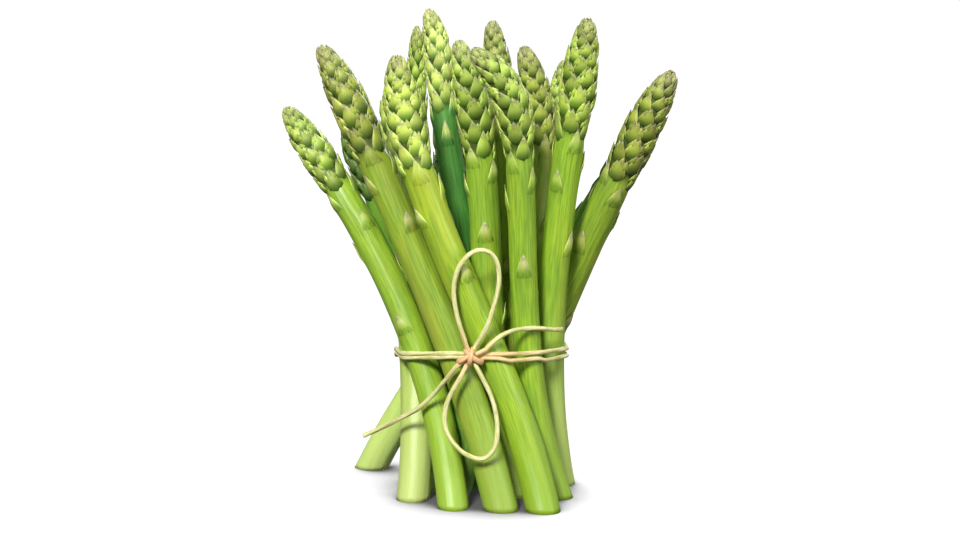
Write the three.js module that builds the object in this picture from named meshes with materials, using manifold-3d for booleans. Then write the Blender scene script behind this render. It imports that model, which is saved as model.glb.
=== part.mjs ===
// A standing bundle of green asparagus: seventeen spears twisted about a waist, held there by
// two turns of raffia that are knotted in front in a bow with two loops and two loose ends.
// Millimetres, +Z up, -Y is the front. The origin is on the surface under the middle spear.
import * as THREE from 'three';
import { mergeVertices } from 'three/addons/utils/BufferGeometryUtils.js';
import Module from 'manifold-3d';

const wasm = await Module();
wasm.setup();

// ---- Driving dimensions ----------------------------------------------------------------

const WAIST_HEIGHT = 60;        // where the tie pulls the stems together
const CHEST_HEIGHT = 120;       // where the stems have spread again, below the heads

const PALE = '#b4c65c';
const GREEN = '#8fae3c';
const OLIVE = '#87914a';
const DEEP = '#527f33';
const STRAW = '#d9cf96';

// Each spear runs through four points: the cut foot on the surface, the waist, the chest and
// the tip. Then come the stem's radius, the length of the head, the colour, for a head that
// hangs over how far its tip is pushed aside, and for a fat one how much thicker than its stem
// it is, as a share.
const SPEARS = [
  [[-11, -33], [-25.2, -14.5], [-55, 0], [-81, 14, 157], 5.9, 44, GREEN],
  [[8, -36], [-10.5, -25], [-35, -20], [-61.5, -12, 182], 6.5, 52, OLIVE, [-2.5, 0]],
  [[24.5, -38], [4.5, -27.5], [-20, -29], [-32.5, -25, 178], 6.4, 48, PALE, [0, -7]],
  [[-27.5, -19], [-27.5, 1], [-33.5, 24], [-36, 44, 174], 6.4, 46, GREEN],
  [[-1, 0], [0, 0], [-9.5, -2], [-17, 2, 197], 5.0, 44, PALE, [-4.5, 0]],
  [[-11.3, -13.4], [-12.8, -8.6], [-42, 5], [-55, 10, 155], 5.6, 38, DEEP],
  [[13, -13], [3.8, -13.5], [1, -16], [-9, -21, 184], 6.0, 50, GREEN],
  [[31.5, -16], [18.9, -20.5], [15.8, -29], [9.5, -40, 180], 5.4, 50, GREEN, [-13, -1], 0.33],
  [[3, 16], [9.5, 10], [10.5, 14], [4.5, 24, 193], 5.2, 44, OLIVE],
  [[19, 5.7], [14.3, -3.5], [23, 1], [17, 1, 182], 5.8, 46, OLIVE],
  [[33.5, 8], [28, -7.5], [32, -18], [41.3, -28, 192], 5.8, 50, GREEN, [0, -5], 0.28],
  [[6, 38], [26.5, 9], [50.5, -9], [75, -24, 172], 6.4, 52, OLIVE],
  [[-16.5, 37.5], [17.5, 22.5], [50.5, 13.5], [71, 5, 150], 6.0, 34, DEEP],
  [[-48, 38], [-13, 29], [21.5, 35], [36.5, 42, 177], 6.3, 44, PALE],
  [[-29, 14], [-22.3, 16.6], [-25, 37], [-27.5, 46, 191.5], 3.6, 44, GREEN],
  [[-15.5, -1.2], [-13.4, 4.4], [-14, 14], [-11, 27, 172], 5.6, 44, DEEP],
  [[-11, 12.3], [-4, 13.8], [-3, 26.8], [3, 46, 174], 5.8, 44, GREEN],
].map(([foot, waist, chest, tip, radius, head, colour, nod, swell]) => (
  { foot, waist, chest, tip, radius, head, colour, nod: nod ?? [0, 0], swell: swell ?? 0.19 }));
const NOD_LENGTH = 34;          // height over which a nodding head bends away
const LINE_STEPS = 48;          // points on a centre line

const BUTT_SWELL = 0.06;        // how much thicker a stem is at its foot
const SHOULDER = 0.6;           // where a head is thickest, as a share of its length from the tip
const POINTEDNESS = 0.53;       // how quickly a head comes to its point
const COLUMNS = 12;             // two for each scale of a crown
const STEM_STEP = 24;           // spacing of the rings along a stem
const FIRST_RING = 0.1;         // the lowest ring's place above the foot, in ring spacings
const CROWNS = 9;               // rings of scales on a head, each set between those below
const CROWDING = 1.35;          // how much closer the crowns lie towards the tip
const SCALE_LIFT = 1.1;         // how far a scale's point stands out
const FULL_LIFT_GIRTH = 4.5;    // a head thinner than this has scales that stand out less
const CREST = 0.75;             // height of a scale's middle, as a share of its point's
const SCALE_LONG = 1.2;         // from a scale's middle to its point, in crown spacings
const TOP_SCALE_SHARE = 0.7;    // the last scales' points, as a share of the way to the tip
const CLEFT = 0.25;             // where two scales part, as a share of that length
const TUCK = 0.08;              // from a point to the scale above it, in crown spacings
const SPIRAL = 0.018;           // turn of the crowns round the head, in radians per mm

const GOLDEN_ANGLE = THREE.MathUtils.degToRad(137.5);
const BRACT_GAPS = [6, 13, 20, 27];            // from one stem bract down to the next
// A bract's length, half its width as an angle, how far its sides lie back from its ends, and
// the heights of its edge, crest, point, heel and root over the stem's skin.
const BRACT = { long: 13, halfAngle: 0.75, lieBack: 2.1, edge: -0.15, crest: 0.9, point: 0.6,
  heel: -0.8, root: -2.4 };
const LOWEST_BRACT = 14;        // no bract below this height
const TIE_CLEARANCE = 9;        // no bract this close to the waist

const RAFFIA = 1.9;             // thickness of the tie
const TIE_GAP = 0.5;            // between the turns and the stems, which lean under them
const TURNS = [                 // heights of the two turns
  { front: 60.6, right: 57, back: 56, left: 55.8 },
  { front: 62, right: 59.6, back: 58.6, left: 57.7 },
];
const TURN_POINTS = 60;         // places where a turn's course is worked out
const TURN_STEPS = 44;          // steps of its solid
const KNOT_ANGLE = -0.1;        // where the turns meet, from the front towards +X
const FREE_STEP = 4;            // length of one step of a loop or an end
const KNOT = { centre: [-4.2, -36.8, 61.2], half: [5, 2.5, 3.1] };
const KNOT_OVER = { arc: 1.5, lean: 0.9, points: 4 };   // the strand that crosses over it

// Routes of the bow's two loops and two loose ends, chosen by hand: out of the knot, over the
// stems and, for a loop, back into the knot.
const UPPER_LOOP = [
  [-5.7, -37.4, 65.7], [-6.6, -37.9, 68.6], [-7.9, -38.2, 72.4], [-9.2, -38.1, 76.8],
  [-10.2, -37.9, 81.8], [-10.6, -37.6, 87], [-10.1, -37.3, 92.2], [-8.3, -37.1, 97.2],
  [-5, -36.9, 101.2], [-0.8, -36.8, 103.2], [3.4, -36.8, 102.2], [6.2, -37, 98.6],
  [7, -37.2, 93], [6.3, -37.4, 86.4], [4.6, -37.6, 79.8], [2.5, -37.8, 74],
  [0, -37.9, 69.2], [-2, -37.4, 65.7],
];
const LOWER_LOOP = [
  [-6.2, -37.6, 56.9], [-7.4, -38, 54.6], [-9, -38.3, 51.8], [-11, -38.6, 48.4],
  [-12.6, -38.7, 45], [-13.8, -38.7, 41.2], [-14.3, -38.8, 37.4], [-14, -39.2, 33.6],
  [-12.6, -39.7, 30.2], [-10.3, -40.4, 27], [-7.2, -41.1, 24.2], [-3.2, -41.9, 22.2],
  [0.4, -42.5, 21.8], [3.2, -42.8, 23.2], [5.2, -42.7, 26], [6.2, -42.2, 30],
  [6.4, -41.4, 35], [5.7, -40.5, 40], [4.2, -39.6, 45.2], [2, -38.8, 50.4],
  [0, -38.2, 54.2], [-1.6, -37.8, 56.9],
];
const LEFT_TAIL = [
  [-9.6, -36.7, 57.4], [-11, -36, 55.6], [-12.5, -35, 53.6], [-14.1, -34, 51.4],
  [-15.8, -33, 49.2], [-17.4, -31.9, 47], [-19.2, -30.7, 44.8], [-21.3, -29.4, 42.4],
  [-23.6, -28.2, 40.2], [-26, -27, 38.2], [-28.6, -25.4, 36.4], [-31.4, -23.4, 34.6],
  [-34.6, -21, 32.6], [-38.6, -17.8, 30], [-43, -15.4, 27.4], [-47.8, -14.2, 25],
];
const RIGHT_TAIL = [
  [1.9, -37, 64.2], [3, -36.9, 65.5], [4.5, -36.7, 66.9], [6.3, -36.2, 68.3],
  [8.4, -35.5, 69.6], [10.8, -34.4, 70.6], [13.2, -33, 71.2], [15.8, -31.5, 71.5],
  [18.4, -30, 71.5], [21, -28.4, 71.3], [23.6, -26.8, 71], [26.1, -25, 70.6],
  [28.4, -23.2, 70.1], [30.6, -21, 69.7], [32.6, -18.7, 69.3],
];

// ---- Small helpers ---------------------------------------------------------------------

// The polynomial in z through the given stations, each a height and a value.
function through(stations, z) {
  let sum = 0;
  for (const [zi, value] of stations) {
    let weight = 1;
    for (const [zj] of stations) {
      if (zj !== zi) weight *= (z - zj) / (zi - zj);
    }
    sum += value * weight;
  }
  return sum;
}

// A closed geometry as a manifold-3d solid: vertices merged, collapsed triangles dropped.
function toSolid(geometry) {
  const bare = geometry.clone();
  bare.deleteAttribute('normal');
  bare.deleteAttribute('uv');
  const merged = mergeVertices(bare, 1e-4);
  const index = merged.index.array;
  const triangles = [];
  for (let i = 0; i < index.length; i += 3) {
    const [a, b, c] = [index[i], index[i + 1], index[i + 2]];
    if (a !== b && b !== c && c !== a) triangles.push(a, b, c);
  }
  const vertProperties = new Float32Array(merged.attributes.position.array);
  const triVerts = new Uint32Array(triangles);
  return new wasm.Manifold(new wasm.Mesh({ numProp: 3, vertProperties, triVerts }));
}

function toGeometry(solid) {
  const mesh = solid.getMesh();
  const geometry = new THREE.BufferGeometry();
  geometry.setAttribute('position', new THREE.BufferAttribute(mesh.vertProperties, 3));
  geometry.setIndex(new THREE.BufferAttribute(mesh.triVerts, 1));
  geometry.computeVertexNormals();
  return geometry;
}

function fuse(geometries) {
  return geometries.map(toSolid).reduce((joined, solid) => joined.add(solid));
}

function paint(colour, roughness) {
  return new THREE.MeshStandardMaterial({ color: colour, roughness, metalness: 0, flatShading: true });
}

// ---- Spears ----------------------------------------------------------------------------

// The middle of a spear at a height.
function middle(spear, z) {
  const [tipX, tipY, tipZ] = spear.tip;
  const heights = [0, WAIST_HEIGHT, CHEST_HEIGHT, tipZ];
  const values = [spear.foot, spear.waist, spear.chest, [tipX, tipY]];
  const [nodX, nodY] = spear.nod;
  const bend = Math.max(0, (z - tipZ + NOD_LENGTH) / NOD_LENGTH) ** 3;
  const [x, y] = [0, 1].map((axis) => through(heights.map((h, i) => [h, values[i][axis]]), z));
  return new THREE.Vector3(x + nodX * bend, y + nodY * bend, z);
}

// The centre line of a spear, as a curve that can be read by length.
function centreLine(spear) {
  const points = [];
  for (let i = 0; i <= LINE_STEPS; i++) points.push(middle(spear, spear.tip[2] * i / LINE_STEPS));
  return new THREE.CatmullRomCurve3(points);
}

// A point beside the centre line: so far along it, turned so far round it from the front, and
// so far out from it. Past the tip the line goes straight on.
function beside(line, length, along, angle, out) {
  const share = THREE.MathUtils.clamp(along / length, 0, 1);
  const tangent = line.getTangentAt(share);
  const front = new THREE.Vector3(0, -1, 0).addScaledVector(tangent, tangent.y).normalize();
  const side = new THREE.Vector3().crossVectors(tangent, front);
  return line.getPointAt(share)
    .addScaledVector(tangent, along - share * length)
    .addScaledVector(front, out * Math.cos(angle))
    .addScaledVector(side, out * Math.sin(angle));
}

// Outer radius of a spear at a distance from its tip, over the scales.
function girth(spear, length, fromTip) {
  const share = Math.max(0, fromTip) / spear.head;
  if (share >= 1) {
    return spear.radius * (1 + BUTT_SWELL * (fromTip - spear.head) / (length - spear.head));
  }
  if (share >= SHOULDER) {
    const ease = 0.5 + 0.5 * Math.cos(Math.PI * (share - SHOULDER) / (1 - SHOULDER));
    return spear.radius * (1 + spear.swell * ease);
  }
  return spear.radius * (1 + spear.swell) * (1 - (1 - share / SHOULDER) ** 2) ** POINTEDNESS;
}

// Radius in the clefts between the scales of a head, and of the bare stem below it.
function innerRadius(spear, length, fromTip) {
  const outer = girth(spear, length, fromTip);
  return outer - (fromTip < spear.head ? scaleLift(outer) : 0);
}

// Scales stand out less where the head is thin.
function scaleLift(outer) {
  return SCALE_LIFT * Math.min(1, outer / FULL_LIFT_GIRTH);
}

// The rows of a spear's surface, from the foot to the tip. Each gives, for a column that runs
// up the middle of the crown's scales and for one that runs between them, how far along the
// spear it lies and how far it stands out, as a share of the scales' lift.
function surfaceRows(spear, length) {
  const rows = [];
  const stem = length - spear.head;
  const rings = Math.round(stem / STEM_STEP);
  for (let i = 0; i < rings; i++) {
    const plain = { along: i === 0 ? 0 : stem * (i + FIRST_RING) / (rings + FIRST_RING), out: 0 };
    rows.push({ middle: plain, between: plain });
  }
  const start = (crown) => length - spear.head * (1 - crown / CROWNS) ** CROWDING;
  let pointBelow = { along: start(0), out: 0 };
  for (let crown = 0; crown < CROWNS; crown++) {
    const spacing = start(crown + 1) - start(crown);
    const long = Math.min(SCALE_LONG * spacing, TOP_SCALE_SHARE * (length - start(crown)));
    const point = { along: start(crown) + long, out: 1 };
    const parity = crown % 2;
    rows.push({ parity, middle: { along: start(crown), out: CREST }, between: pointBelow });
    rows.push({ parity, middle: point, between: { along: start(crown) + CLEFT * long, out: 0 } });
    pointBelow = { along: point.along + TUCK * spacing, out: 0 };
  }
  return rows;
}

// The whole spear but its bracts: a pointed body turned on the axis, its rows pushed out into
// overlapping scales by the rule above, bent along the centre line, and cut level at the foot.
function body(spear, line, length, turn) {
  const rows = surfaceRows(spear, length);
  const profile = [new THREE.Vector2(0, 0), ...rows.map((row, i) => new THREE.Vector2(1, i)),
    new THREE.Vector2(0, length)];
  const surface = new THREE.LatheGeometry(profile, COLUMNS);
  const position = surface.attributes.position;
  for (let column = 0; column <= COLUMNS; column++) {
    for (let i = 0; i < profile.length; i++) {
      const row = rows[i - 1];
      let point = beside(line, length, i === 0 ? 0 : length, 0, 0);
      if (row) {
        const spot = (column + (row.parity ?? 0)) % 2 ? row.between : row.middle;
        const fromTip = length - spot.along;
        const lift = spot.out * scaleLift(girth(spear, length, fromTip));
        const out = innerRadius(spear, length, fromTip) + lift;
        const angle = turn + 2 * Math.PI * (column % COLUMNS) / COLUMNS + SPIRAL * spot.along;
        point = beside(line, length, spot.along, angle, out);
      }
      if (i === 1) {
        const tangent = line.getTangentAt(0);
        point.addScaledVector(tangent, -point.z / tangent.z).setZ(0);
      }
      position.setXYZ(column * profile.length + i, point.x, point.y, point.z);
    }
  }
  return surface;
}

// One pointed bract: a stretched octahedron wrapped round the stem, with its root sunk in and
// its tip standing out.
function bract(spear, line, length, along, angle) {
  const leaf = new THREE.OctahedronGeometry(1);
  const position = leaf.attributes.position;
  for (let i = 0; i < position.count; i++) {
    const [x, y, z] = [position.getX(i), position.getY(i), position.getZ(i)];
    const at = along + BRACT.long * y / 2 - BRACT.lieBack * (1 - Math.abs(y));
    let rise = BRACT.edge;
    if (y > 0.5) rise = BRACT.point;
    if (y < -0.5) rise = BRACT.heel;
    if (z > 0.5) rise = BRACT.crest;
    if (z < -0.5) rise = BRACT.root;
    const out = innerRadius(spear, length, Math.max(length - at, spear.head)) + rise;
    const point = beside(line, length, at, angle + x * BRACT.halfAngle, out);
    position.setXYZ(i, point.x, point.y, point.z);
  }
  return leaf;
}

// Bracts lie ever further apart down the stem, each a golden angle round from the last.
function stemBracts(spear, line, length, turn) {
  const bracts = [];
  let along = length - spear.head;
  BRACT_GAPS.forEach((gap, i) => {
    along -= gap;
    const height = line.getPointAt(along / length).z;
    if (Math.abs(height - WAIST_HEIGHT) < TIE_CLEARANCE || height < LOWEST_BRACT) return;
    bracts.push(bract(spear, line, length, along, turn - i * GOLDEN_ANGLE));
  });
  return bracts;
}

function makeSpear(spear, number) {
  const line = centreLine(spear);
  const length = line.getLength();
  const turn = number * GOLDEN_ANGLE;
  return toGeometry(fuse([body(spear, line, length, turn), ...stemBracts(spear, line, length, turn)]));
}

// ---- Tie -------------------------------------------------------------------------------

// A round strand swept along a curve.
function strand(curve, steps, sides) {
  const section = new THREE.Shape();
  for (let i = 0; i < sides; i++) {
    const angle = 2 * Math.PI * i / sides;
    const [x, y] = [RAFFIA / 2 * Math.cos(angle), RAFFIA / 2 * Math.sin(angle)];
    if (i === 0) section.moveTo(x, y);
    else section.lineTo(x, y);
  }
  section.closePath();
  return new THREE.ExtrudeGeometry(section, { steps, extrudePath: curve, curveSegments: 1 });
}

// Where the taut tie stands furthest out in a direction, on the stem that reaches furthest
// there. A leaning stem's level section is an ellipse, longer the way it leans.
function outermost(direction, height) {
  let best = { reach: -Infinity };
  for (const spear of SPEARS) {
    const centre = middle(spear, height);
    const lean = middle(spear, height + 1).sub(centre);
    const slope = lean.x * direction.x + lean.y * direction.y;
    const across = Math.hypot(1, slope);
    const radius = spear.radius * (1 + BUTT_SWELL);
    const reach = centre.x * direction.x + centre.y * direction.y + radius * across;
    if (reach <= best.reach) continue;
    const out = TIE_GAP + RAFFIA / 2;
    const x = centre.x + radius * (direction.x + slope * lean.x) / across + out * direction.x;
    const y = centre.y + radius * (direction.y + slope * lean.y) / across + out * direction.y;
    best = { reach, point: new THREE.Vector3(x, y, height) };
  }
  return best.point;
}

// One turn of the tie, from inside the knot round the stems and back into it.
function turnCurve({ front, right, back, left }) {
  const points = [];
  for (let i = 0; i <= TURN_POINTS; i++) {
    const angle = KNOT_ANGLE + 2 * Math.PI * i / TURN_POINTS;
    const [toRight, toFront] = [Math.sin(angle), Math.cos(angle)];
    const side = toRight > 0 ? right : left;
    const end = toFront > 0 ? front : back;
    const height = THREE.MathUtils.lerp(side, end, Math.abs(toFront));
    points.push(outermost(new THREE.Vector3(toRight, -toFront, 0), height));
  }
  return new THREE.CatmullRomCurve3(points, false, 'centripetal');
}

// The knot: a lump with one strand crossing over its front.
function knot() {
  const lump = new THREE.SphereGeometry(1, 10, 8);
  lump.scale(...KNOT.half);
  lump.translate(...KNOT.centre);
  const [x, y, z] = KNOT.centre;
  const [, deep, high] = KNOT.half;
  const over = [];
  for (let i = -KNOT_OVER.points; i <= KNOT_OVER.points; i++) {
    const share = i / KNOT_OVER.points;
    const angle = KNOT_OVER.arc * share;
    const [forward, up] = [deep * Math.cos(angle), high * Math.sin(angle)];
    over.push(new THREE.Vector3(x + KNOT_OVER.lean * share, y - forward, z + up));
  }
  return [lump, strand(new THREE.CatmullRomCurve3(over), 6, 6)];
}

function makeWraps() {
  const turns = TURNS.map((heights) => strand(turnCurve(heights), TURN_STEPS, 6));
  return toGeometry(fuse([...knot(), ...turns]));
}

function makeFree(route) {
  const curve = new THREE.CatmullRomCurve3(route.map((point) => new THREE.Vector3(...point)));
  return toGeometry(toSolid(strand(curve, Math.round(curve.getLength() / FREE_STEP), 8)));
}

// ---- The bundle ------------------------------------------------------------------------

const SKIN_ROUGHNESS = 0.55;
const RAFFIA_ROUGHNESS = 0.7;

const bundle = new THREE.Group();

function addPiece(name, geometry, material) {
  const mesh = new THREE.Mesh(geometry, material);
  mesh.name = name;
  bundle.add(mesh);
}

SPEARS.forEach((spear, i) => {
  const name = `spear_${String(i + 1).padStart(2, '0')}`;
  addPiece(name, makeSpear(spear, i), paint(spear.colour, SKIN_ROUGHNESS));
});
addPiece('tie_wraps', makeWraps(), paint(STRAW, RAFFIA_ROUGHNESS));
addPiece('tie_loop_upper', makeFree(UPPER_LOOP), paint(STRAW, RAFFIA_ROUGHNESS));
addPiece('tie_loop_lower', makeFree(LOWER_LOOP), paint(STRAW, RAFFIA_ROUGHNESS));
addPiece('tie_tail_left', makeFree(LEFT_TAIL), paint(STRAW, RAFFIA_ROUGHNESS));
addPiece('tie_tail_right', makeFree(RIGHT_TAIL), paint(STRAW, RAFFIA_ROUGHNESS));

export default bundle;
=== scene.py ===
"""A standing bundle of green asparagus: seventeen spears twisted about a waist and held there by two
turns of raffia, knotted in front in a bow with two loops and two loose ends.
Blender works in metres; the driving dimensions below are in millimetres."""

import math
import random

import bmesh
import bpy
import numpy as np
from mathutils import Matrix, Vector, noise


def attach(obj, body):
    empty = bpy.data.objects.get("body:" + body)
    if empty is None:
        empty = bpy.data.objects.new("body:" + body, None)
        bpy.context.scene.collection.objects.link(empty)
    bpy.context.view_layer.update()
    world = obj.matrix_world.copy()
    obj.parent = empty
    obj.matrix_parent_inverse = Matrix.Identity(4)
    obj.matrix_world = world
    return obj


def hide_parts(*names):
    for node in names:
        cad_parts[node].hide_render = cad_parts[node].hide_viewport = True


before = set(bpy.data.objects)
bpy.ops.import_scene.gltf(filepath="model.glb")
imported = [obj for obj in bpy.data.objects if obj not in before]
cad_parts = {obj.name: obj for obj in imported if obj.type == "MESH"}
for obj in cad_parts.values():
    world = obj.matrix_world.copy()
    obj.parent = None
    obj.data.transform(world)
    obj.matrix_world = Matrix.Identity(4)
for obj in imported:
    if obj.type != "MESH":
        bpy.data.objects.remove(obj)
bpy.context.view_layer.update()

MM = 0.001

# ---- Driving dimensions ----------------------------------------------------------------------

WAIST_HEIGHT = 60
CHEST_HEIGHT = 120

# Each spear runs through four points: the cut foot, the waist, the chest and the tip. Then come
# the stem's radius, the length of the head, the tone of its skin and, for a head that hangs
# over, how far its tip is pushed aside.
# The deep tone, and the dark stem of spear 5, are painted shade for spears that stand in shade at the
# back.
SPEARS = [
    ([-11, -33], [-25.2, -14.5], [-55, 0], [-81, 14, 157], 5.9, 44, "green", [0, 0]),
    ([8, -36], [-10.5, -25], [-35, -20], [-61.5, -12, 182], 6.5, 52, "olive", [-2.5, 0]),
    ([24.5, -38], [4.5, -27.5], [-20, -29], [-32.5, -25, 178], 6.4, 48, "pale", [0, -7]),
    ([-27.5, -19], [-27.5, 1], [-33.5, 24], [-36, 44, 174], 6.4, 46, "white", [0, 0]),
    ([-1, 0], [0, 0], [-9.5, -2], [-17, 2, 197], 5.0, 44, "two_tone", [-4.5, 0]),
    ([-11.3, -13.4], [-12.8, -8.6], [-42, 5], [-55, 10, 155], 5.6, 38, "deep", [0, 0]),
    ([13, -13], [3.8, -13.5], [1, -16], [-9, -21, 184], 6.0, 50, "green", [0, 0]),
    ([31.5, -16], [18.9, -20.5], [15.8, -29], [9.5, -40, 180], 5.4, 50, "green", [-13, -1]),
    ([3, 16], [9.5, 10], [10.5, 14], [4.5, 24, 193], 5.2, 44, "olive", [0, 0]),
    ([19, 5.7], [14.3, -3.5], [23, 1], [17, 1, 182], 5.8, 46, "olive", [0, 0]),
    ([33.5, 8], [28, -7.5], [32, -18], [41.3, -28, 192], 5.8, 50, "butt", [0, -5]),
    ([6, 38], [26.5, 9], [50.5, -9], [75, -24, 172], 6.4, 52, "olive", [0, 0]),
    ([-16.5, 37.5], [17.5, 22.5], [50.5, 13.5], [71, 5, 150], 6.0, 34, "deep", [0, 0]),
    ([-48, 38], [-13, 29], [21.5, 35], [36.5, 42, 177], 6.3, 44, "butt", [0, 0]),
    ([-29, 14], [-22.3, 16.6], [-25, 37], [-27.5, 46, 191.5], 3.6, 44, "green", [0, 0]),
    ([-15.5, -1.2], [-13.4, 4.4], [-14, 14], [-11, 27, 172], 5.6, 44, "deep", [0, 0]),
    ([-11, 12.3], [-4, 13.8], [-3, 26.8], [3, 46, 174], 5.8, 44, "green", [0, 0]),
]
FIELDS = ("foot", "waist", "chest", "tip", "radius", "head", "tone", "nod")
SPEARS = [dict(zip(FIELDS, row)) for row in SPEARS]
HEAD_SWELL = 0.19        # how much thicker a head is than its stem
FATTER_HEADS = {8: 0.33, 11: 0.28}
for number, spear in enumerate(SPEARS, 1):
    spear["swell"] = FATTER_HEADS.get(number, HEAD_SWELL)
NOD_LENGTH = 34          # the stretch below its tip over which a head bends aside
SPEAR_STATIONS = 300     # points along a spear's course

BUTT_SWELL = 0.06        # how much thicker a stem is at its foot
SHOULDER = 0.6           # where a head is thickest, as a share of its length from the tip
POINTEDNESS = 0.53       # how quickly a head comes to its point
SCALE_LIFT = 1.1         # how far a scale's point stands out
FULL_LIFT_GIRTH = 4.5    # where a head's radius is less than this, its scales stand out less
GOLDEN_ANGLE = math.radians(137.5)

STEM_SIDES = 48
RING_STEP = 2.0          # between the rings of a stem's surface
RIBS = 13                # round a stem
RIB_HEIGHT = 0.04
RIB_HEIGHT_MORE = 0.07   # added to it little by little towards the head
UNEVENNESS = 0.02        # of a stem's radius, as a share of it
CUT_EDGE = 0.35          # width of the flat rim that keeps the edge of the cut sharp
FOOT_TRIM = 16           # the stretch of a stem over which its foot is cut level with the floor
CORE_END = 0.2           # the core of a head ends so far short of its tip
HEAD_SCALES = 62         # on one head
CROWDING = 1.65          # how much closer the scales sit towards the tip
SCALE_SPAN = 6.8         # a scale's length, in spacings from one scale to the next
SCALE_MORE = 2.5         # and so much more
SCALE_HALF_ANGLE = 0.58  # how far round the stem half a scale reaches, in radians
BUD_SHARE = 0.16         # share of the head at its tip in which no scale has side scales
SIDE_SCALES = 0.75       # share of the side scales below it that grow
LAST_SCALE = 0.9         # no scale is rooted nearer to the tip
SCALE_GRID = (4, 5)      # cells across and along a scale
SIDE_GRID = (2, 4)
BRACT_GRID = (6, 5)
LEAF_THICKNESS = 0.2
BRACT_GAPS = [2, 2.8, 3.6, 5, 7.5, 11, 15, 19, 23]  # from the head downwards
BRACT_LENGTH = 12
BRACT_HALF_ANGLE = 0.66
BRACT_LIFT = 0.7
BUD_SWELL = 0.45         # how far a bract's bud swells the stem under it
BUD_HEIGHT = 4           # from the bract's root up to the middle of its bud
BUD_HALF_LENGTH = 4.5
BUD_HALF_ANGLE = 0.5
LOWEST_BRACT = 14        # no bract's middle is lower
TIE_CLEARANCE = 9        # no bract's middle is closer to the waist

RAFFIA = 1.9             # thickness of the tie
STRAND_SIDES = 20
STRAND_STEP = 0.9        # between the rings of a strand's surface
FOLD_TURN = 9            # along a strand, its folds turn round it by a radian in this length
FOLD_DRIFT = 14          # and they wander from that over about this length
COURSE_STEP = 0.8        # between the points of a strand's course, about
TIE_GAP = 0.15           # between the turns and the stems, before the turns are smoothed
TURNS = [                # heights of the two turns
    {"front": 60.6, "right": 57, "back": 56, "left": 55.8},
    {"front": 62, "right": 59.6, "back": 58.6, "left": 57.7},
]
TURN_PLACES = 121        # directions in which a turn's course is worked out
TURN_EASING = 14         # how often its corners are eased
KNOT_ANGLE = -0.165      # where the turns pass from one stem to the next behind the knot
KNOT_OPENING = 0.02      # how far to each side of that a turn leaves the stems
KNOT_CENTRE = (-4.2, -36.8, 61.2)
KNOT_REACH = 0.8         # share of the way to its middle that the loops and loose ends go on
KNOT_THICKNESS = 1.1 * RAFFIA
KNOT_SET_BACK = 0.6      # from the knot's middle to that of its bands
BAND_POINTS = 40

# Strands of the knot, as closed bands: how far aside, half height, half depth and tilt.
KNOT_BANDS = [(-1.5, 3.6, 2.8, 1.0), (1.3, 3.8, 3.1, -0.95), (0.2, 3.0, 3.6, 0.2)]

# How warm in colour a strand is where it starts, and the length over which it cools.
FREE_WARMTH = (0.5, 18)
TURN_WARMTH = (0.55, 50)
KNOT_WARMTH = (0.9, 200)

# Courses of the free strands. Each starts at the knot, and a loop comes back to it.
UPPER_LOOP = [
    (-5.7, -37.4, 65.7), (-6.6, -37.9, 68.6), (-7.9, -38.2, 72.4), (-9.2, -38.1, 76.8),
    (-10.2, -37.9, 81.8), (-10.6, -37.6, 87), (-10.1, -37.3, 92.2), (-8.3, -37.1, 97.2),
    (-5, -36.9, 101.2), (-0.8, -36.8, 103.2), (3.4, -36.8, 102.2), (6.2, -37, 98.6),
    (7, -37.2, 93), (6.3, -37.4, 86.4), (4.6, -37.6, 79.8), (2.5, -37.8, 74),
    (0, -37.9, 69.2), (-2, -37.4, 65.7),
]
LOWER_LOOP = [
    (-6.2, -37.6, 56.9), (-7.4, -38, 54.6), (-9, -38.3, 51.8), (-11, -38.6, 48.4),
    (-12.6, -38.7, 45), (-13.8, -38.7, 41.2), (-14.3, -38.8, 37.4), (-14, -39.2, 33.6),
    (-12.6, -39.7, 30.2), (-10.3, -40.4, 27), (-7.2, -41.1, 24.2), (-3.2, -41.9, 22.2),
    (0.4, -42.5, 21.8), (3.2, -42.8, 23.2), (5.2, -42.7, 26), (6.2, -42.2, 30),
    (6.4, -41.4, 35), (5.7, -40.5, 40), (4.2, -39.6, 45.2), (2, -38.8, 50.4),
    (0, -38.2, 54.2), (-1.6, -37.8, 56.9),
]
LEFT_TAIL = [
    (-9.6, -36.7, 57.4), (-11, -36, 55.6), (-12.5, -35, 53.6), (-14.1, -34, 51.4),
    (-15.8, -33, 49.2), (-17.4, -31.9, 47), (-19.2, -30.7, 44.8), (-21.3, -29.4, 42.4),
    (-23.6, -28.2, 40.2), (-26, -27, 38.2), (-28.6, -25.4, 36.4), (-31.4, -23.4, 34.6),
    (-34.6, -21, 32.6), (-38.6, -17.8, 30), (-43, -15.4, 27.4), (-47.8, -14.2, 25),
]
RIGHT_TAIL = [
    (1.9, -37, 64.2), (3, -36.9, 65.5), (4.5, -36.7, 66.9), (6.3, -36.2, 68.3),
    (8.4, -35.5, 69.6), (10.8, -34.4, 70.6), (13.2, -33, 71.2), (15.8, -31.5, 71.5),
    (18.4, -30, 71.5), (21, -28.4, 71.3), (23.6, -26.8, 71), (26.1, -25, 70.6),
    (28.4, -23.2, 70.1), (30.6, -21, 69.7), (32.6, -18.7, 69.3),
]

# ---- Camera ----------------------------------------------------------------------------------

CAMERA_PLACE = Vector((-0.4, -700, 170)) * MM
CAMERA_TARGET = Vector((-0.4, 0, 91.3)) * MM
CAMERA_LENS = 64.3       # on the usual 36 mm sensor


def set_camera():
    camera = bpy.data.objects.new("camera", bpy.data.cameras.new("camera"))
    bpy.context.scene.collection.objects.link(camera)
    camera.data.lens = CAMERA_LENS
    camera.data.clip_start = 0.01
    camera.location = CAMERA_PLACE
    camera.rotation_euler = (CAMERA_TARGET - CAMERA_PLACE).to_track_quat("-Z", "Y").to_euler()
    bpy.context.scene.camera = camera


# ---- Courses: lines that a straight piece is laid along ----------------------------------------

def unit(vectors):
    return vectors / np.linalg.norm(vectors, axis=1)[:, None]


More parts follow.
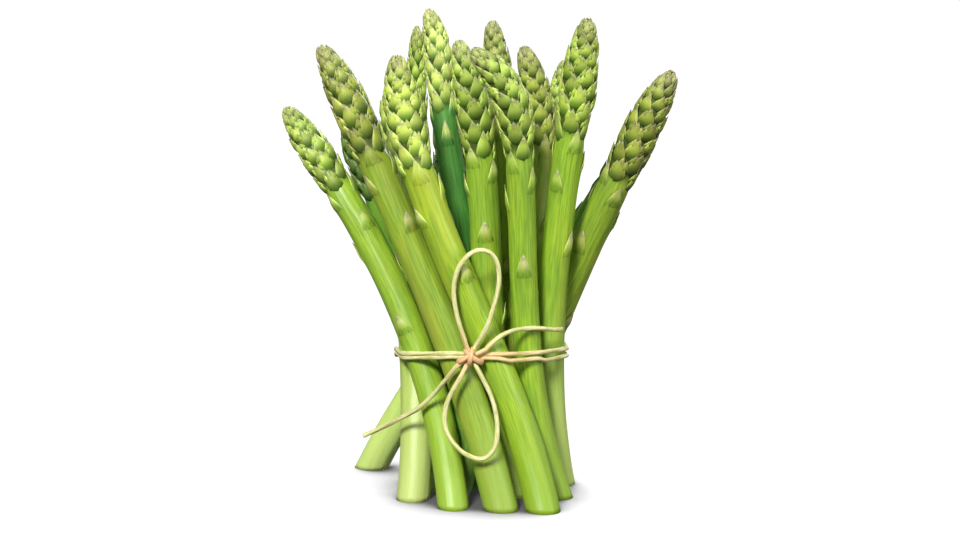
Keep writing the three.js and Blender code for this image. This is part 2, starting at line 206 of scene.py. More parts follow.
def reached(line):
    """How far along a line each of its points lies."""
    steps = np.linalg.norm(np.diff(line, axis=0), axis=1)
    return np.concatenate([[0], np.cumsum(steps)])


class Course:
    """A line through points that lie close together, with its own front and side everywhere.
    The front is as near as it can be to the facing direction."""

    def __init__(self, points, facing):
        self.points = np.array(points, float)
        self.along = reached(self.points)
        self.length = self.along[-1]
        self.tangent = unit(np.gradient(self.points, self.along, axis=0))
        facing = np.array(facing, float) * np.ones((len(self.points), 1))
        lean = np.sum(facing * self.tangent, axis=1)
        self.front = unit(facing - lean[:, None] * self.tangent)
        self.side = np.cross(self.tangent, self.front)

    def at(self, values, along):
        return np.stack([np.interp(along, self.along, values[:, k]) for k in range(3)], axis=1)

    def lay(self, straight):
        """Where points beside the upright Z axis go when that axis is laid along the course."""
        x, y, along = np.array(straight, float).T
        kept = np.clip(along, 0, self.length)
        over = (along - kept)[:, None] * self.at(self.tangent, kept)
        across = x[:, None] * self.at(self.side, kept) - y[:, None] * self.at(self.front, kept)
        return self.at(self.points, kept) + over + across


def through(stations, z):
    """The polynomial in z through the given stations, each a height and a value."""
    total = 0
    for zi, value in stations:
        weight = value
        for zj, _ in stations:
            if zj != zi:
                weight = weight * (z - zj) / (zi - zj)
        total = total + weight
    return total


def middle(spear, z):
    """The middle of a spear at one height or at several, as x and y."""
    tip_height = spear["tip"][2]
    heights = (0, WAIST_HEIGHT, CHEST_HEIGHT, tip_height)
    points = (spear["foot"], spear["waist"], spear["chest"], spear["tip"])
    bend = np.maximum(0, (z - tip_height + NOD_LENGTH) / NOD_LENGTH) ** 3
    return [
        through([(h, point[axis]) for h, point in zip(heights, points)], z) + spear["nod"][axis] * bend
        for axis in (0, 1)
    ]


def spear_course(spear):
    z = np.linspace(0, spear["tip"][2], SPEAR_STATIONS)
    return Course(np.stack([*middle(spear, z), z], axis=1), (0, -1, 0))


def rounded(points):
    """A smooth line through a few points, as many points close together."""
    points = [Vector(p) for p in points]
    ends = [2 * points[0] - points[1], *points, 2 * points[-1] - points[-2]]
    line = []
    for before, here, there, after in zip(ends, ends[1:], ends[2:], ends[3:]):
        count = max(2, round((there - here).length / COURSE_STEP))
        for i in range(count):
            t = i / count
            line.append(0.5 * (2 * here + (there - before) * t
                               + (2 * before - 5 * here + 4 * there - after) * t * t
                               + (3 * here - before - 3 * there + after) * t ** 3))
    return np.array([*line, points[-1]])


def eased(line, times):
    """The same line with its corners eased, as stiff fibre takes them. Its ends stay."""
    line = np.array(line, float)
    along = reached(line)
    even = np.linspace(0, along[-1], round(along[-1] / COURSE_STEP) + 1)
    line = np.stack([np.interp(even, along, line[:, k]) for k in range(3)], axis=1)
    for _ in range(times):
        line[1:-1] = 0.25 * line[:-2] + 0.5 * line[1:-1] + 0.25 * line[2:]
    return line


def outward(points):
    """Level directions from the bundle's axis to each point."""
    level = np.array(points, float) * (1, 1, 0)
    return unit(level)


# ---- Forms shared by the pieces ---------------------------------------------------------------

def upright_rod(sides, heights):
    """A closed rod of radius 1 on the Z axis, with a ring of vertices at each height."""
    bm = bmesh.new()
    low, high = heights[0], heights[-1]
    bmesh.ops.create_cone(bm, cap_ends=True, segments=sides, radius1=1, radius2=1, depth=high - low,
                          matrix=Matrix.Translation((0, 0, (low + high) / 2)))
    upright = [e for e in bm.edges if abs(e.verts[0].co.z - e.verts[1].co.z) > 0.5 * (high - low)]
    bmesh.ops.subdivide_edges(bm, edges=upright, cuts=len(heights) - 2)
    for v in bm.verts:
        ring = round((v.co.z - low) / (high - low) * (len(heights) - 1))
        v.co.z = heights[ring]
    return bm


def smooth_step(low, high, value):
    share = min(1, max(0, (value - low) / (high - low)))
    return share * share * (3 - 2 * share)


def finish_piece(bm, name, course, materials):
    """Lays a straight form along its course and makes it a piece of the object."""
    bmesh.ops.recalc_face_normals(bm, faces=bm.faces)
    mesh = bpy.data.meshes.new(name)
    bm.to_mesh(mesh)
    bm.free()
    straight = np.zeros(3 * len(mesh.vertices), np.float32)
    mesh.vertices.foreach_get("co", straight)
    placed = course.lay(straight.reshape(-1, 3)) * MM
    placed[:, 2] = np.maximum(placed[:, 2], 0)
    mesh.vertices.foreach_set("co", placed.astype(np.float32).ravel())
    mesh.polygons.foreach_set("use_smooth", [True] * len(mesh.polygons))
    for material in materials:
        mesh.materials.append(material)
    mesh.update()
    piece = bpy.data.objects.new(name, mesh)
    bpy.context.scene.collection.objects.link(piece)
    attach(piece, "root")
    return piece


# ---- Finishes ---------------------------------------------------------------------------------

def colour(code):
    """A colour written as rrggbb, in the linear values that Blender works in."""
    parts = [int(code[i:i + 2], 16) / 255 for i in (0, 2, 4)]
    return (*[p / 12.92 if p <= 0.04045 else ((p + 0.055) / 1.055) ** 2.4 for p in parts], 1)


class Finish:
    """A material, with short words for the nodes that it is built from."""

    def __init__(self, name):
        self.material = bpy.data.materials.new(name)
        self.material.use_nodes = True
        self.tree = self.material.node_tree
        self.shader = self.tree.nodes["Principled BSDF"]

    def node(self, kind, inputs, **settings):
        made = self.tree.nodes.new("ShaderNode" + kind)
        for key, value in settings.items():
            setattr(made, key, value)
        for key, value in inputs.items():
            self.feed(made.inputs[key], value)
        return made

    def feed(self, socket, value):
        if isinstance(value, bpy.types.NodeSocket):
            self.tree.links.new(value, socket)
        else:
            socket.default_value = value

    def surface(self, **inputs):
        for key, value in inputs.items():
            self.feed(self.shader.inputs[key.replace("_", " ")], value)

    def attribute(self, name):
        return self.node("Attribute", {}, attribute_name=name).outputs["Vector"]

    def split(self, vector):
        return self.node("SeparateXYZ", {0: vector}).outputs

    def math(self, operation, a, b=0.0):
        return self.node("Math", {0: a, 1: b}, operation=operation).outputs[0]

    def span(self, value, low, high, to_low=0.0, to_high=1.0):
        inputs = {"Value": value, "From Min": low, "From Max": high, "To Min": to_low, "To Max": to_high}
        return self.node("MapRange", inputs, interpolation_type="SMOOTHSTEP").outputs[0]

    def stretched(self, vector, scale):
        return self.node("VectorMath", {0: vector, 1: scale}, operation="MULTIPLY").outputs[0]

    def noise(self, vector, scale, detail=2.0, roughness=0.5):
        inputs = {"Vector": vector, "Scale": scale, "Detail": detail, "Roughness": roughness}
        return self.node("TexNoise", inputs).outputs["Fac"]

    def mix(self, share, a, b):
        return self.node("Mix", {0: share, 6: a, 7: b}, data_type="RGBA").outputs[2]

    def bump(self, height, depth):
        """Bump whose height of one unit stands for a depth in millimetres."""
        made = self.node("Bump", {"Height": height, "Distance": depth * MM})
        self.feed(self.shader.inputs["Normal"], made.outputs[0])


# Tones of the spears: the stem's lit and deep streaks, its golden patches and its foot, then a
# scale's middle, its shaded root, its pale margin and its point, and the face of a bract.
TONE_PARTS = ("lit", "deep", "gold", "foot", "scale", "shade", "margin", "point", "bract")
TONES = {
    "green": "9abc30 608a26 b4b83a 80a030 b0ca50 5c8222 d2e678 7e785c bcc66e",
    "butt": "98bc30 608a26 b4b83a c2d67e b0c84e 5c8222 d2e678 7e785c bcc66e",
    "pale": "a0be28 709426 bcbc3c 709418 c4da5a 6a902c e0f08c 92906e cbd27c",
    "white": "a0b846 769632 b4b44a b8c47a b6d04e 648a2c d8ea88 8c866a cbd27c",
    "olive": "8ea82c 587822 aaa242 7c963a 9aa83e 4c641e bec868 766454 b0ac64",
    # Painted shade: the deep tone is a darker copy of the green, for spears that stand in shade behind
    # the others.
    "deep": "55942e 2e6e22 669236 78a042 648530 2c511e 96ac5a 555340 9aa65a",
    # Painted shade: this tone's stem is darkened to the teal of a stem in shade; its head keeps its own
    # pale colour.
    "two_tone": "4c9438 24642e 5a943e 6a9c40 cee06c 709638 dcee94 96926e a8b86c",
}
TONES = {tone: dict(zip(TONE_PARTS, map(colour, row.split()))) for tone, row in TONES.items()}


def stem_tint(f, grain, colours):
    """The skin's streaks and patches, and the noises behind them."""
    streak = f.noise(f.stretched(grain, (1, 1, 0.05)), 1.5, 4.0, 0.6)
    patch = f.noise(f.stretched(grain, (1, 1, 0.25)), 0.16, 3.0)
    gold = f.noise(f.stretched(grain, (1, 1, 0.2)), 0.11, 2.0)
    tint = f.mix(f.span(streak, 0.35, 0.68), colours["lit"], colours["deep"])
    tint = f.mix(f.span(patch, 0.42, 0.66, 0.0, 0.55), tint, colours["deep"])
    tint = f.mix(f.span(gold, 0.5, 0.7, 0.0, 0.4), tint, colours["gold"])
    return tint, streak, patch


def skin(tone, colours):
    """The smooth stem: fine lengthwise streaks, a colour of its own at the foot, and painted shade under
    the scales."""
    f = Finish(f"asparagus_skin_{tone}")
    grain = f.attribute("grain")
    share, into_head, own = f.split(f.attribute("spear"))
    tint, streak, patch = stem_tint(f, grain, colours)
    foot = f.math("ADD", share, f.math("MULTIPLY", f.math("SUBTRACT", patch, 0.5), 0.3))
    reach, strength = (0.5, 0.95) if tone in ("white", "butt") else (0.32, 0.75)
    tint = f.mix(f.span(foot, 0.0, reach, strength, 0.0), tint, colours["foot"])
    tint = f.mix(f.math("MULTIPLY", own, 0.3), tint, colour("a9c63a"))
    fleck = f.noise(f.stretched(grain, (1, 1, 0.5)), 0.9, 4.0, 0.65)
    tint = f.mix(f.span(fleck, 0.64, 0.76, 0.0, 0.4), tint, colour("93884c"))
    # Painted shade: inside the head the stem darkens, as shade under the scales.
    tint = f.mix(f.span(into_head, 0.04, 0.16, 0.0, 0.85), tint, colour("2f3a14"))
    f.surface(Base_Color=tint, Roughness=f.span(patch, 0.3, 0.7, 0.36, 0.5), Specular_IOR_Level=0.5)
    f.surface(Subsurface_Weight=0.12, Subsurface_Scale=0.004, Subsurface_Radius=(0.5, 1.0, 0.2))
    f.bump(f.math("ADD", streak, f.math("MULTIPLY", patch, 1.5)), 0.12)
    return f.material


def scale_skin(tone, colours):
    """A scale of the head: veined lengthwise, with a thin pale margin and a dark point."""
    f = Finish(f"asparagus_scale_{tone}")
    grain = f.attribute("grain")
    across, up, own = f.split(f.attribute("leaf"))
    vein = f.noise(f.stretched(grain, (1, 1, 0.12)), 2.2, 3.0, 0.6)
    speck = f.noise(grain, 1.1, 3.0, 0.6)
    tint = f.mix(f.span(up, 0.15, 0.6), colours["shade"], colours["scale"])
    tint = f.mix(f.span(vein, 0.5, 0.75, 0.0, 0.4), tint, colours["deep"])
    edge = f.math("ABSOLUTE", across)
    margin = f.math("MULTIPLY", f.span(edge, 0.72, 1.0), f.span(up, 0.1, 0.4, 0.0, 0.6))
    tint = f.mix(margin, tint, colours["margin"])
    point = f.math("ADD", up, f.math("MULTIPLY", f.math("SUBTRACT", speck, 0.5), 0.9))
    tint = f.mix(f.span(point, 0.62, 1.0, 0.0, 0.85), tint, colours["point"])
    to_tip = f.split(f.attribute("spear"))[1]
    tint = f.mix(f.span(to_tip, 0.75, 1.0, 0.0, 0.5), tint, colour("96906c"))
    light = f.span(own, 0.0, 1.0, 0.72, 1.2)
    bright = f.node("HueSaturation", {"Value": light, "Color": tint})
    f.surface(Base_Color=bright.outputs[0], Roughness=f.span(speck, 0.3, 0.7, 0.4, 0.58))
    f.surface(Subsurface_Weight=0.1, Subsurface_Scale=0.003, Subsurface_Radius=(0.5, 1.0, 0.2))
    f.bump(vein, 0.12)
    return f.material


def bract_skin(tone, colours):
    """A bract on the stem: the stem's own skin at its root, drier and paler to its dark point,
    and as green as the scales where it sits close under the head."""
    f = Finish(f"asparagus_bract_{tone}")
    grain = f.attribute("grain")
    across, up, own = f.split(f.attribute("leaf"))
    root, streak, _ = stem_tint(f, grain, colours)
    vein = f.noise(f.stretched(grain, (1, 1, 0.12)), 2.2, 3.0, 0.6)
    speck = f.noise(grain, 1.1, 3.0, 0.6)
    into_head = f.split(f.attribute("spear"))[1]
    full = f.mix(f.span(into_head, -0.75, -0.15), colours["bract"], colours["scale"])
    full = f.mix(f.span(vein, 0.4, 0.75, 0.0, 0.5), full, colours["deep"])
    full = f.mix(f.span(own, 0.0, 1.0, 0.0, 0.3), full, colour("e6e0a4"))
    dried = f.math("ADD", up, f.math("MULTIPLY", f.math("SUBTRACT", streak, 0.5), 0.35))
    tint = f.mix(f.span(dried, 0.3, 0.7, 0.0, 0.9), root, full)
    edge = f.math("ABSOLUTE", across)
    margin = f.math("MULTIPLY", f.span(edge, 0.75, 1.0), f.span(up, 0.25, 0.5, 0.0, 0.6))
    tint = f.mix(margin, tint, colours["margin"])
    point = f.math("ADD", up, f.math("MULTIPLY", f.math("SUBTRACT", speck, 0.5), 0.6))
    tint = f.mix(f.span(point, 0.62, 1.0, 0.0, 0.85), tint, colours["point"])
    f.surface(Base_Color=tint, Roughness=f.span(speck, 0.3, 0.7, 0.4, 0.58))
    f.surface(Subsurface_Weight=0.1, Subsurface_Scale=0.003, Subsurface_Radius=(0.5, 1.0, 0.2))
    f.bump(vein, 0.1)
    return f.material


def cut_flesh():
    """The cut end: moist pale flesh with the dots of its strands."""
    f = Finish("asparagus_cut_end")
    grain = f.attribute("grain")
    dots = f.node("TexVoronoi", {"Vector": f.stretched(grain, (1, 1, 0)), "Scale": 1.1})
    ring = f.span(dots.outputs["Distance"], 0.08, 0.25)
    tint = f.mix(ring, colour("b9c27a"), colour("e4e6c0"))
    f.surface(Base_Color=tint, Roughness=0.45)
    f.bump(ring, 0.1)
    return f.material


def raffia():
    """Dry straw fibre, streaked lengthwise, warmer near the knot."""
    f = Finish("raffia_straw")
    grain = f.attribute("grain")
    warm = f.split(f.attribute("fibre"))[0]
    streak = f.noise(f.stretched(grain, (1, 1, 0.07)), 3.2, 4.0, 0.65)
    patch = f.noise(f.stretched(grain, (1, 1, 0.3)), 0.3, 2.0)
    tint = f.mix(f.span(streak, 0.35, 0.7), colour("dcdca2"), colour("b0a85c"))
    tint = f.mix(f.span(patch, 0.45, 0.75, 0.0, 0.5), tint, colour("c6c87a"))
    tint = f.mix(f.math("MULTIPLY", warm, f.span(streak, 0.3, 0.7, 1.0, 0.6)), tint, colour("e2a274"))
    f.surface(Base_Color=tint, Roughness=f.span(streak, 0.3, 0.7, 0.5, 0.72))
    f.bump(streak, 0.25)
    return f.material


# ---- Spears -----------------------------------------------------------------------------------

def girth(spear, length, from_tip):
    """Outer radius of a spear over its scales."""
    share = max(0, from_tip) / spear["head"]
    radius = spear["radius"]
    if share >= 1:
        return radius * (1 + BUTT_SWELL * (from_tip - spear["head"]) / (length - spear["head"]))
    if share >= SHOULDER:
        ease = 0.5 + 0.5 * math.cos(math.pi * (share - SHOULDER) / (1 - SHOULDER))
        return radius * (1 + spear["swell"] * ease)
    return radius * (1 + spear["swell"]) * (1 - (1 - share / SHOULDER) ** 2) ** POINTEDNESS


def scale_lift(outer):
    """Scales stand out less where the head is thin."""
    return SCALE_LIFT * min(1, outer / FULL_LIFT_GIRTH)


def core(spear, length, from_tip):
    """Radius of the bare stem, which goes on under the scales of the head."""
    outer = girth(spear, length, from_tip)
    inside = smooth_step(-4, 12, spear["head"] - from_tip)
    return outer - inside * scale_lift(outer)


def bracts_of(spear, course, turn):
    """Where the bracts sit on a stem: ever further apart down it, a golden angle from one to the
    next, each as the place of its root along the spear and its angle."""
    places = []
    root = course.length - spear["head"]
    for i, gap in enumerate(BRACT_GAPS, 1):
        root -= gap
        height = course.at(course.points, [root + BRACT_LENGTH / 2])[0][2]
        if abs(height - WAIST_HEIGHT) >= TIE_CLEARANCE and height >= LOWEST_BRACT:
            places.append((root, turn - i * GOLDEN_ANGLE))
    return places


def skin_of(spear, length, bracts, number):
    """How far the stem's skin lies from its middle, at a place along it and an angle: a little
    uneven, faintly ribbed, and swollen by the bud under each bract."""

    def skin_at(along, angle):
        across, forward = math.sin(angle), math.cos(angle)
        spot = Vector((1.6 * across, 1.6 * forward, along / 22 + 7 * number))
        radius = core(spear, length, length - along) * (1 + UNEVENNESS * noise.noise(spot))
        near_head = smooth_step(-70, 0, along - length + spear["head"])
        ribs = math.sin(RIBS * angle + 1.5 * noise.noise(spot * 0.7))
        radius += (RIB_HEIGHT + RIB_HEIGHT_MORE * near_head) * ribs
        for root, turn in bracts:
            away = math.remainder(angle - turn, 2 * math.pi) / BUD_HALF_ANGLE
            up = (along - root - BUD_HEIGHT) / BUD_HALF_LENGTH
            radius += BUD_SWELL * math.exp(-away * away - up * up)
        return radius

    return skin_at


def stem_form(length, skin_at):
    """The stem and the core of its head, with a sharp cut at the foot."""
    rings = round((length - CORE_END) / RING_STEP)
    heights = [(length - CORE_END) * i / rings for i in range(rings + 1)]
    bm = upright_rod(STEM_SIDES, heights)
    for v in bm.verts:
        radius = skin_at(v.co.z, math.atan2(v.co.x, -v.co.y))
        v.co.x *= radius
        v.co.y *= radius
    caps = sorted((f for f in bm.faces if len(f.verts) > 4), key=lambda f: f.calc_center_median().z)
    bmesh.ops.inset_region(bm, faces=[caps[0]], thickness=CUT_EDGE, depth=0)
    return bm


def scale_outline(up):
    """Half the width of a scale at a height on it, as a share of the widest."""
    return (1 - up) ** 1.35 * (1 + 2 * up)


def bract_outline(up):
    """The same for a bract, which is broadest at its root."""
    return (1 - up) ** 0.9 * (1 + 0.25 * up)


def bract_rise(across, up, lift):
    """How far a bract stands off the stem: it parts from the skin slowly and keeps close to it."""
    rise = -0.6 + 1.5 * smooth_step(0, 0.55, up) + 0.25 * smooth_step(0.7, 1, up)
    return lift * (rise - 0.55 * across * across * smooth_step(0.1, 0.5, up) * (1 - up ** 3))


def scale_rise(across, up, lift):
    """How far a scale stands off the stem: sunk at its root, full in the middle, pressed down
    along its edges, its point standing out."""
    rise = -0.45 + 1.45 * math.sin(min(1, up / 0.5) * math.pi / 2) + 0.2 * smooth_step(0.65, 1, up)
    keel = 0.14 * max(0, 1 - 3 * abs(across))
    return lift * (rise + (keel - 0.6 * across * across) * (1 - up ** 3))


SCALE_SHAPE = (scale_outline, scale_rise)
BRACT_SHAPE = (bract_outline, bract_rise)

# Places in a spear's list of finishes, after the skin.
SCALE_FINISH, BRACT_FINISH, CUT_FINISH = 1, 2, 3


def flat_leaf(grid):
    """The pattern of a leaf: a flat closed slab, two units square and one thick."""
    bm = bmesh.new()
    bmesh.ops.create_grid(bm, x_segments=grid[0], y_segments=grid[1], size=1)
    bmesh.ops.solidify(bm, geom=bm.faces[:], thickness=1)
    deepest = min(v.co.z for v in bm.verts)
    for v in bm.verts:
        v.co.z -= deepest
    mesh = bpy.data.meshes.new("leaf")
    bm.to_mesh(mesh)
    bm.free()
    return mesh


def add_leaf(bm, layer, pattern, place, shape, own, seat):
    """Adds one scale or bract to the upright spear. The place is its root along the spear, its
    angle, its length, its half angle and its lift; the shape is its outline and its rise; the
    seat gives the distance of the skin that it sits on, at a place along the spear and an
    angle."""
    outline, rise = shape
    root, turn, long, half_angle, lift = place
    before = len(bm.verts)
    bm.from_mesh(pattern)
    bm.verts.ensure_lookup_table()
    for v in bm.verts[before:]:
        across, up = v.co.x, (v.co.y + 1) / 2
        v[layer] = (across, up, own)
        along = root + long * up
        angle = turn + half_angle * across * outline(up)
        out = seat(along, angle) + rise(across, up, lift) + LEAF_THICKNESS * v.co.z
        v.co = (out * math.sin(angle), -out * math.cos(angle), along)


def head_scales(spear, length, turn, draw):
    """The places of the scales on a head, from the lowest to the tip, and whether each is a full
    one. Except near the tip, a full scale mostly has a smaller one at each side, which belongs to
    the bud that swells under it."""
    places = []
    for k in range(HEAD_SCALES):
        left = 1 - k / HEAD_SCALES
        from_tip = spear["head"] * left ** CROWDING
        if from_tip < LAST_SCALE:
            break
        spacing = spear["head"] / HEAD_SCALES * CROWDING * left ** (CROWDING - 1)
        outer = girth(spear, length, from_tip)
        long = min(SCALE_SPAN * spacing + SCALE_MORE, 0.95 * from_tip + 0.6) * draw.uniform(0.92, 1.06)
        half_angle = SCALE_HALF_ANGLE + 0.5 * (1 - min(1, outer / spear["radius"]))
        lift = scale_lift(outer) * draw.uniform(0.8, 1.1)
        angle = turn + k * GOLDEN_ANGLE + draw.uniform(-0.08, 0.08)
        root = length - from_tip
        places.append(((root, angle, long, half_angle, lift), True))
        if from_tip < BUD_SHARE * spear["head"]:
            continue
        for hand in (-1, 1):
            if draw.random() < SIDE_SCALES:
                aside = hand * draw.uniform(0.2, 0.32)
                side = (root + draw.uniform(0.3, 0.42) * long, angle + aside,
                        draw.uniform(0.48, 0.6) * long, 0.55 * half_angle, 0.9 * lift)
                places.append((side, False))
    return places


def leaf_form(spear, length, bracts, skin_at, turn, draw):
    """All the scales and bracts of a spear."""
    bm = bmesh.new()
    layer = bm.verts.layers.float_vector.new("leaf")
    bract_pattern, scale_pattern, side_pattern = map(flat_leaf, (BRACT_GRID, SCALE_GRID, SIDE_GRID))
    for root, angle in bracts:
        long = BRACT_LENGTH * draw.uniform(0.85, 1.1)
        place = (root, angle, long, BRACT_HALF_ANGLE * draw.uniform(0.85, 1.1), BRACT_LIFT)
        add_leaf(bm, layer, bract_pattern, place, BRACT_SHAPE, draw.random(), skin_at)
    for face in bm.faces:
        face.material_index = BRACT_FINISH
    bract_faces = len(bm.faces)
    for place, full in head_scales(spear, length, turn, draw):
        pattern = scale_pattern if full else side_pattern
        add_leaf(bm, layer, pattern, place, SCALE_SHAPE, draw.random(), skin_at)
    bm.faces.ensure_lookup_table()
    for face in bm.faces[bract_faces:]:
        face.material_index = SCALE_FINISH
    bmesh.ops.remove_doubles(bm, verts=bm.verts, dist=1e-5)
    mesh = bpy.data.meshes.new("leaves")
    bm.to_mesh(mesh)
    bm.free()
    for pattern in (bract_pattern, scale_pattern, side_pattern):
        bpy.data.meshes.remove(pattern)
    return mesh


def make_spear(spear, index, finishes):
    number = index + 1
    draw = random.Random(100 + number)
    course = spear_course(spear)
    length = course.length
    turn = index * GOLDEN_ANGLE
    bracts = bracts_of(spear, course, turn)
    skin_at = skin_of(spear, length, bracts, number)
    bm = stem_form(length, skin_at)
    bm.verts.layers.float_vector.new("leaf")
    grain = bm.verts.layers.float_vector.new("grain")
    whole = bm.verts.layers.float_vector.new("spear")
    for face in bm.faces:
        if face.calc_center_median().z < 0.01:
            face.material_index = CUT_FINISH
    leaves = leaf_form(spear, length, bracts, skin_at, turn, draw)
    bm.from_mesh(leaves)
    bpy.data.meshes.remove(leaves)
    own = draw.random()
    foot = course.lay([(v.co.x, v.co.y, 0) for v in bm.verts])[:, 2]
    slope = course.tangent[0][2]
    for v, above in zip(bm.verts, foot):
        v[grain] = v.co + Vector((40 * number, 0, 0))
        v[whole] = (v.co.z / length, (v.co.z - length + spear["head"]) / spear["head"], own)
        v.co.z -= above / slope * (1 - smooth_step(0, FOOT_TRIM, v.co.z))
    name = f"asparagus_spear_{number:02d}"
    tone = finishes[spear["tone"]]
    materials = [tone["skin"], tone["scale"], tone["bract"], finishes["cut"]]
    piece = finish_piece(bm, name, course, materials)
    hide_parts(f"spear_{number:02d}")


# ---- Tie --------------------------------------------------------------------------------------

def strand_form(length, thickness, seed, warmth):
    """A rolled strand of raffia, upright: folds that run along it and turn slowly round it."""
    warm, cools_over = warmth
    count = round(length / STRAND_STEP)
    bm = upright_rod(STRAND_SIDES, [length * i / count for i in range(count + 1)])
    grain = bm.verts.layers.float_vector.new("grain")
    fibre = bm.verts.layers.float_vector.new("fibre")
    for v in bm.verts:
        along = v.co.z
        turned = along / FOLD_TURN
        angle = math.atan2(v.co.y, v.co.x) + turned
        drift = noise.noise(Vector((along / FOLD_DRIFT, seed, 0)))
        folds = 0.08 * math.cos(3 * angle + 2 * drift) + 0.05 * math.cos(7 * angle - 3 * drift)
        radius = thickness / 2 * (0.95 + 0.09 * drift + folds)
        v.co.x *= radius
        v.co.y *= radius
        v[grain] = (v.co.x * math.cos(turned) + 20 * seed, v.co.y, along)
        v[fibre] = (warm * (1 - smooth_step(0, cools_over, along)), 0, 0)
    return bm


def into_knot(point):
    """A point inside the knot, on the way from the given one to the knot's middle."""
    return Vector(point).lerp(KNOT_CENTRE, KNOT_REACH)


def make_cord(name, node, route, far_end, seed, finishes):
    """A free strand. Where it starts, and where a loop comes back, it goes on into the knot."""
    ends = [into_knot(route[0])] + route + ([into_knot(route[-1])] if far_end == "object" else [])
    course_points = rounded(ends)
    course = Course(course_points, outward(course_points))
    bm = strand_form(course.length, RAFFIA, seed, FREE_WARMTH)
    piece = finish_piece(bm, name, course, [finishes["raffia"]])
    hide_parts(node)


def outermost(direction, height):
    """Where the taut tie stands furthest out in a level direction, on the stem that reaches
    furthest there. A leaning stem's level section is an ellipse, longer the way it leans."""
    best, reach = None, -math.inf
    dx, dy = direction
    for spear in SPEARS:
        x, y = middle(spear, height)
        x_above, y_above = middle(spear, height + 1)
        lean_x, lean_y = x_above - x, y_above - y
        slope = lean_x * dx + lean_y * dy
        across = math.hypot(1, slope)
        radius = spear["radius"] * (1 + BUTT_SWELL)
        here = x * dx + y * dy + radius * across
        if here > reach:
            reach = here
            out = TIE_GAP + RAFFIA / 2
            best = (x + radius * (dx + slope * lean_x) / across + out * dx,
                    y + radius * (dy + slope * lean_y) / across + out * dy, height)
    return best


def turn_course(turn):
    """One turn of the tie, from inside the knot round the stems and back into it. It rises and
    falls evenly from the front to each side and on to the back."""
    angles = KNOT_ANGLE + np.linspace(KNOT_OPENING, 2 * math.pi - KNOT_OPENING, TURN_PLACES)
    corners = [turn[place] for place in ("front", "right", "back", "left", "front")]

    def touching(heights):
        return np.array([outermost((math.sin(a), -math.cos(a)), z) for a, z in zip(angles, heights)])

    level = touching([turn["front"]] * len(angles))
    along = reached(level)
    stops = np.interp([0, 0.5 * math.pi, math.pi, 1.5 * math.pi, 2 * math.pi], angles, along)
    points = touching(np.interp(along, stops, corners))
    first, last = Vector(points[0]), Vector(points[-1])
    behind_knot = last.lerp(first, (KNOT_CENTRE[0] - last.x) / (first.x - last.x))
    line = eased([behind_knot, *points, behind_knot], TURN_EASING)
    return Course(line, outward(line))


def make_turns(finishes):
    """The two turns of the tie."""
    for number, heights in enumerate(TURNS, 1):
        course = turn_course(heights)
        bm = strand_form(course.length, RAFFIA, 3 + number, TURN_WARMTH)
        piece = finish_piece(bm, f"raffia_turn_{number}", course, [finishes["raffia"]])
        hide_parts("tie_wraps")


def make_knot(finishes):
    """The knot's bands, which cross in front of the turns and hide where the strands end."""
    for number, (aside, high, deep, tilt) in enumerate(KNOT_BANDS, 1):
        middle_of_band = Vector(KNOT_CENTRE) + Vector((aside, KNOT_SET_BACK, 0))
        points = []
        for i in range(BAND_POINTS + 1):
            angle = math.pi * (2 * i / BAND_POINTS - 1)
            up, forward = high * math.sin(angle), deep * math.cos(angle)
            points.append(middle_of_band + Vector((up * math.sin(tilt), -forward, up * math.cos(tilt))))
        line = rounded(points)
        course = Course(line, line - np.array(KNOT_CENTRE))
        bm = strand_form(course.length, KNOT_THICKNESS, 8 + number, KNOT_WARMTH)
        piece = finish_piece(bm, f"raffia_knot_{number}", course, [finishes["raffia"]])
        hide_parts("tie_wraps")


# ---- Studio -----------------------------------------------------------------------------------

SKY_ABOVE, SKY_BELOW = 0.3, 0.12    # how strongly the sky lights the bundle
SKY_SHOWN = 1.05         # how bright the sky itself shows
HORIZON = {"From Min": -0.2, "From Max": 0.2, "To Min": SKY_BELOW, "To Max": SKY_ABOVE}
FLOOR_RADIUS = 8         # in metres
FLOOR_SHADE_REACH = 34   # the floor is shaded up to so far from a stem

# Suns: the direction in which each shines, its strength and its softness.
SUNS = {
    "key": ((0.3, 0.84, -0.66), 4.4, 14),
    "fill": ((-0.8, 0.55, -0.3), 1.2, 40),
    "back": ((-0.3, -0.85, -0.5), 3.0, 50),
}


def sun(name, towards, strength, softness):
    """A light from far away. Its softness is the angle that it takes up in the sky, in degrees."""
    light = bpy.data.lights.new(name, "SUN")
    light.energy = strength
    light.angle = math.radians(softness)
    holder = bpy.data.objects.new(name, light)
    holder.rotation_euler = Vector(towards).to_track_quat("-Z", "Y").to_euler()
    bpy.context.scene.collection.objects.link(holder)


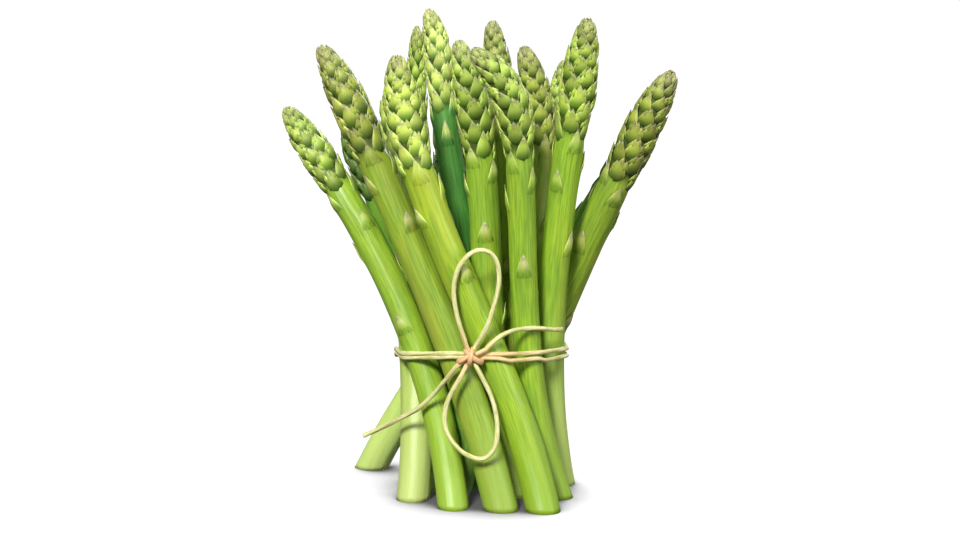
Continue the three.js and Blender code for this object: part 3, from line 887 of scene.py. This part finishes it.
def set_floor():
    """A white floor that darkens only near the stems. It throws no light on them: from below they
    are lit by the sky under the horizon."""
    bm = bmesh.new()
    bmesh.ops.create_circle(bm, cap_ends=True, segments=64, radius=FLOOR_RADIUS)
    mesh = bpy.data.meshes.new("floor")
    bm.to_mesh(mesh)
    bm.free()
    floor = bpy.data.objects.new("floor", mesh)
    bpy.context.scene.collection.objects.link(floor)
    floor.visible_diffuse = False
    floor.visible_glossy = False
    f = Finish("studio_floor")
    contact = f.node("AmbientOcclusion", {"Distance": FLOOR_SHADE_REACH * MM}, samples=16).outputs["AO"]
    f.surface(Base_Color=(0.1, 0.1, 0.1, 1), Roughness=1.0, Specular_IOR_Level=0.0)
    f.surface(Emission_Color=(1, 1, 1, 1), Emission_Strength=f.span(contact, 0.4, 0.95, 0.02, 1.0))
    mesh.materials.append(f.material)


def set_world():
    """An even sky that shows white behind the bundle and lights it less, least of all from below."""
    world = bpy.data.worlds.new("studio")
    world.use_nodes = True
    nodes, links = world.node_tree.nodes, world.node_tree.links
    path = nodes.new("ShaderNodeLightPath")
    direction = nodes.new("ShaderNodeTexCoord").outputs["Generated"]
    axes = nodes.new("ShaderNodeSeparateXYZ")
    links.new(direction, axes.inputs[0])
    lit = nodes.new("ShaderNodeMapRange")
    shown = nodes.new("ShaderNodeMapRange")
    for key, value in HORIZON.items():
        lit.inputs[key].default_value = value
    links.new(axes.outputs["Z"], lit.inputs["Value"])
    shown.inputs["To Max"].default_value = SKY_SHOWN
    links.new(path.outputs["Is Camera Ray"], shown.inputs["Value"])
    links.new(lit.outputs[0], shown.inputs["To Min"])
    background = nodes["Background"]
    background.inputs["Color"].default_value = (1, 1, 1, 1)
    links.new(shown.outputs[0], background.inputs["Strength"])
    bpy.context.scene.world = world


def set_studio():
    set_floor()
    set_world()
    for name, (towards, strength, softness) in SUNS.items():
        sun(name, towards, strength, softness)
    bpy.context.scene.view_settings.view_transform = "Standard"


# ---- The bundle -------------------------------------------------------------------------------

def build():
    set_camera()
    finishes = {
        tone: {
            "skin": skin(tone, colours),
            "scale": scale_skin(tone, colours),
            "bract": bract_skin(tone, colours),
        }
        for tone, colours in TONES.items()
    }
    finishes["cut"] = cut_flesh()
    finishes["raffia"] = raffia()
    make_cord("raffia_loop_upper", "tie_loop_upper", UPPER_LOOP, "object", 1, finishes)
    make_cord("raffia_loop_lower", "tie_loop_lower", LOWER_LOOP, "object", 2, finishes)
    make_cord("raffia_end_left", "tie_tail_left", LEFT_TAIL, "bare", 3, finishes)
    make_cord("raffia_end_right", "tie_tail_right", RIGHT_TAIL, "bare", 4, finishes)
    make_turns(finishes)
    make_knot(finishes)
    for index, spear in enumerate(SPEARS):
        make_spear(spear, index, finishes)
    set_studio()


build()
